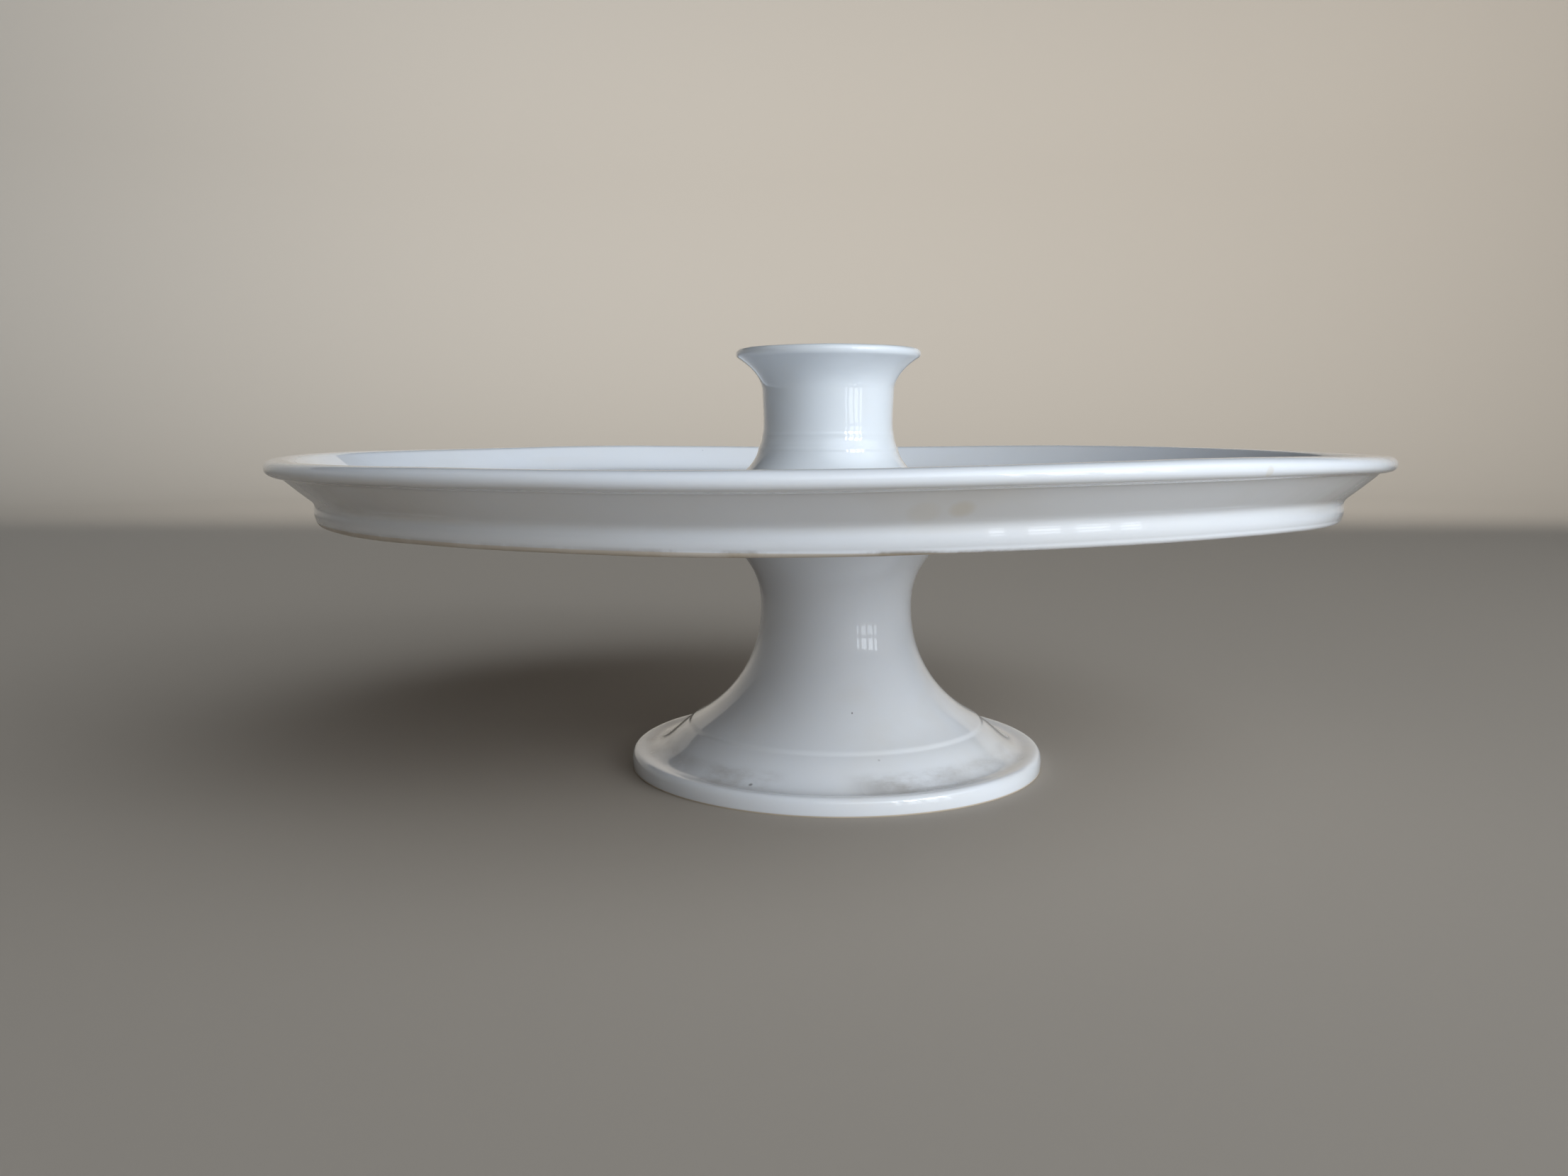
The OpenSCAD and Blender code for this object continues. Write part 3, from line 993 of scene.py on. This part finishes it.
def cork(name):
    material, tree, where = new_material(name)
    cells = add(tree, "TexVoronoi", {"Vector": where, "Scale": 700.0}, feature="F1")
    tone = add(tree, "SeparateColor", {0: cells.outputs["Color"]}).outputs[0]
    surface(tree, {
        "Base Color": mix_colour(tree, tone, PALE_CORK, DARK_CORK), "Roughness": 0.85,
        "Normal": bump(tree, cells.outputs["Distance"], 0.5, 0.0003),
    })
    return material


def leather(name):
    material, tree, where = new_material(name)
    net = add(tree, "TexVoronoi", {"Vector": where, "Scale": 1400.0}, feature="DISTANCE_TO_EDGE")
    grain = net.outputs["Distance"]
    smoothness = ramp(tree, grain, 0.0, 0.15)
    surface(tree, {
        "Base Color": mix_colour(tree, smoothness, CREASED_LEATHER, SMOOTH_LEATHER),
        "Roughness": 0.55, "Normal": bump(tree, grain, 0.5, 0.0002),
    })
    return material


worn_brass = brass("worn brass")
pressed_cork = cork("pressed cork")
tanned_leather = leather("tanned leather")
for piece, node in ((tie_rod, "tie_rod"), (cap_nut, "cap_nut"), (cap_washer, "cap_washer"),
                    (clamp_washer, "clamp_washer"), (clamp_nut, "clamp_nut")):
    finish_piece(piece, node, worn_brass)
for piece, node in ((plate_gasket, "plate_gasket"), (cup_gasket, "cup_gasket"),
                    (cork_washer, "cork_washer")):
    finish_piece(piece, node, pressed_cork)
finish_piece(leather_washer, "leather_washer", tanned_leather)

# %% [markdown]
# ## Studio
#
# The floor is a plain pale bowl: flat under the stand and turned up far away in a wide
# cove, so that no sharp horizon shows from any side. A paper roll hung behind a pot does
# the same, but only for one view. The bowl is turned like the pots, and its paint is paler
# near the stand than far away: a painted pool of light, as on a lit floor.

# %% Floor
FLOOR_R = 2600
COVE_R = 700
WALL_TOP = 1150
NEAR_PAINT = colour(0.40, 0.352, 0.30)
FAR_PAINT = colour(0.28, 0.257, 0.228)


def floor_outline():
    return [
        *line(point(1, 0), point(FLOOR_R - COVE_R, 0), 24),
        *arc(point(FLOOR_R - COVE_R, COVE_R), COVE_R, -90, 0, 16),
        point(FLOOR_R, COVE_R),
        point(FLOOR_R, WALL_TOP),
    ]


floor = draw_chain("studio_floor", floor_outline())
spin_round(steps=96)
pick(floor, lambda at: at.xy.length < 2)
bpy.ops.mesh.merge(type="CENTER")
bpy.ops.object.mode_set(mode="OBJECT")
smooth(floor, 180)
paint, tree, where = new_material("pale floor")
reach = add(tree, "VectorMath", {0: where}, operation="LENGTH").outputs["Value"]
surface(tree, {
    # Paler near the stand and darker far away: a painted pool of light.
    "Base Color": mix_colour(tree, ramp(tree, reach, 0.3, 2.2), NEAR_PAINT, FAR_PAINT),
    "Roughness": 0.75,
})
floor.data.materials.append(paint)
floor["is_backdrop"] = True
print(f"{floor.name}: {len(floor.data.polygons)} faces")

# %% [markdown]
# ## Window
#
# Daylight comes from one side only, low on the right, as from a window. White glaze shows
# the shape of a light like a mirror, so one big lamp would give itself away as a plain
# white box. The window is built as columns and rows of lit panes instead, with dark bars
# between them. The panes get brighter towards the top, where a window looks at the sky.
# Lights and the camera are placed in metres, as Blender's own units are.

# %% Area light helper
def area_light(name, place, tilt, facing, size, energy, tint):
    """A rectangular light. Its tilt is 0 when it shines down and 90 when it shines level."""
    deselect()
    bpy.ops.object.light_add(type="AREA", location=place, rotation=(math.radians(tilt), 0, facing))
    light = bpy.context.object
    light.name = name
    light.data.shape = "RECTANGLE"
    light.data.size, light.data.size_y = size
    light.data.energy = energy
    light.data.color = tint
    return light


# %% Window panes
WINDOW_AZIMUTH = 46
WINDOW_FAR = 1.25
WINDOW_SILL = 0.015
COLUMNS = (0.06, 0.155, 0.155, 0.09)
COLUMN_GAPS = (0.09, 0.065, 0.065)
ROWS = ((0.15, 0.8), (0.19, 1.1), (0.26, 4.0))
BAR = 0.065
PANE_WATTS = 11.0
DAYLIGHT = (0.84, 0.92, 1.0)

window_turn = math.radians(WINDOW_AZIMUTH)
to_window = Vector((math.sin(window_turn), -math.cos(window_turn), 0))
along_window = Vector((math.cos(window_turn), math.sin(window_turn), 0))
window_middle = to_window * WINDOW_FAR
side = -(sum(COLUMNS) + sum(COLUMN_GAPS)) / 2
for column, (width, gap) in enumerate(zip(COLUMNS, (*COLUMN_GAPS, 0))):
    up = WINDOW_SILL
    for row, (tall, brightness) in enumerate(ROWS):
        place = window_middle + along_window * (side + width / 2) + Vector((0, 0, up + tall / 2))
        watts = PANE_WATTS * width * tall * brightness
        area_light(f"window_pane_{column}_{row}", place, 90, window_turn, (width, tall), watts, DAYLIGHT)
        up += tall + BAR
    side += width + gap
print(f"window: {len(COLUMNS) * len(ROWS)} panes, {up - BAR:.2f} m up to the top")

# %% [markdown]
# ## Reflector and wall lights
#
# A wide reflector behind the window carries on its light, so that the shading stays soft.
# Two more lights turn away from the stand and only brighten the wall of the bowl, behind
# the stand and behind the window, because a dark wall would swallow the plate's edge. All
# three are hidden from mirror-like reflections: otherwise they would fill the gaps
# between the panes, and the bars of the window would vanish.

# %% Reflector and wall lights
REFLECTOR_H = 0.7
WALL_TINT = (1.0, 0.97, 0.92)
WALL_WATTS = 34


def soft_light(name, place, tilt, facing, size, energy, tint, spread=180):
    """A large light that the glaze doesn't mirror."""
    light = area_light(name, place, tilt, facing, size, energy, tint)
    light.data.spread = math.radians(spread)
    light.visible_glossy = False
    print(f"{name}: {size[0]} x {size[1]} m, {energy} W")


soft_light("reflector", window_middle * 1.4 + Vector((0, 0, REFLECTOR_H / 2 + 0.02)), 90, window_turn,
           (2.4, REFLECTOR_H), 11.5, DAYLIGHT)
soft_light("wall_light_behind", (0.2, 1.0, 1.0), 76, 0, (2.4, 0.5), WALL_WATTS, WALL_TINT, 150)
soft_light("wall_light_in_front", window_middle * 0.9 + Vector((0, 0, 1.0)), 76, window_turn + math.pi,
           (2.8, 0.5), WALL_WATTS, WALL_TINT, 150)

# %% [markdown]
# ## Sky glow
#
# Most of a room's light has bounced, so it comes from everywhere, but more of it from the
# window's side. The world does that without any lamp: a smooth glow round the window's
# direction, and almost black elsewhere, which leaves the far side of the stand in shade.

# %% Sky glow
GLOW_UP = 0.45
GLOW_STRENGTH = 2.3
ROOM_SHADE = colour(0.025, 0.021, 0.018)

world = bpy.data.worlds.new("daylight")
world.use_nodes = True
tree = world.node_tree
tree.nodes.clear()
towards = (to_window + Vector((0, 0, GLOW_UP))).normalized()
direction = add(tree, "TexCoord").outputs["Generated"]
facing = add(tree, "VectorMath", {0: direction, 1: towards}, operation="DOT_PRODUCT").outputs["Value"]
glow = ramp(tree, facing, 0.5, 1.0)
bright_side = colour(*(part * GLOW_STRENGTH for part in DAYLIGHT))
sky = mix_colour(tree, glow, ROOM_SHADE, bright_side)
background = add(tree, "Background", {"Color": sky, "Strength": 1.0})
add(tree, "OutputWorld", {"Surface": background.outputs[0]})
bpy.context.scene.world = world
print(f"{world.name}: brightest towards {WINDOW_AZIMUTH} degrees, strength {GLOW_STRENGTH}")

# %% [markdown]
# ## Camera
#
# The eye is a hand's height above the floor and just above the plate's lip, close in with
# a wide lens, so the near rim looks lower than the far one. The Standard view transform
# shows light in its true proportions, which suits white ware: Filmic and AgX would grey it.

# %% Camera
CAMERA_PLACE = (0, -0.443, 0.116)
SENSOR_WIDTH = 36
LENS = 29.13
LOOK_DOWN = 7.09
LOOK_LEFT = 2.36
ROLL = -0.1

deselect()
bpy.ops.object.camera_add(location=CAMERA_PLACE)
camera = bpy.context.object
camera.data.sensor_width = SENSOR_WIDTH
camera.data.lens = LENS
camera.data.clip_start = 0.01
look = Euler((math.radians(90 - LOOK_DOWN), 0, math.radians(LOOK_LEFT))).to_quaternion()
camera.rotation_mode = "QUATERNION"
camera.rotation_quaternion = look @ Quaternion((0, 0, 1), math.radians(ROLL))
bpy.context.scene.camera = camera
bpy.context.scene.view_settings.view_transform = "Standard"
print(f"camera: {math.degrees(camera.data.angle):.1f} degrees wide, at {CAMERA_PLACE}")

# %% [markdown]
# ## Measuring
#
# The box round all of the stand is measured again, and printed.

# %% Measure
made_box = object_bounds()
for axis, low, high in zip("xyz", made_box[0] / MM, made_box[1] / MM):
    print(f"{axis} from {low:.1f} to {high:.1f} mm")
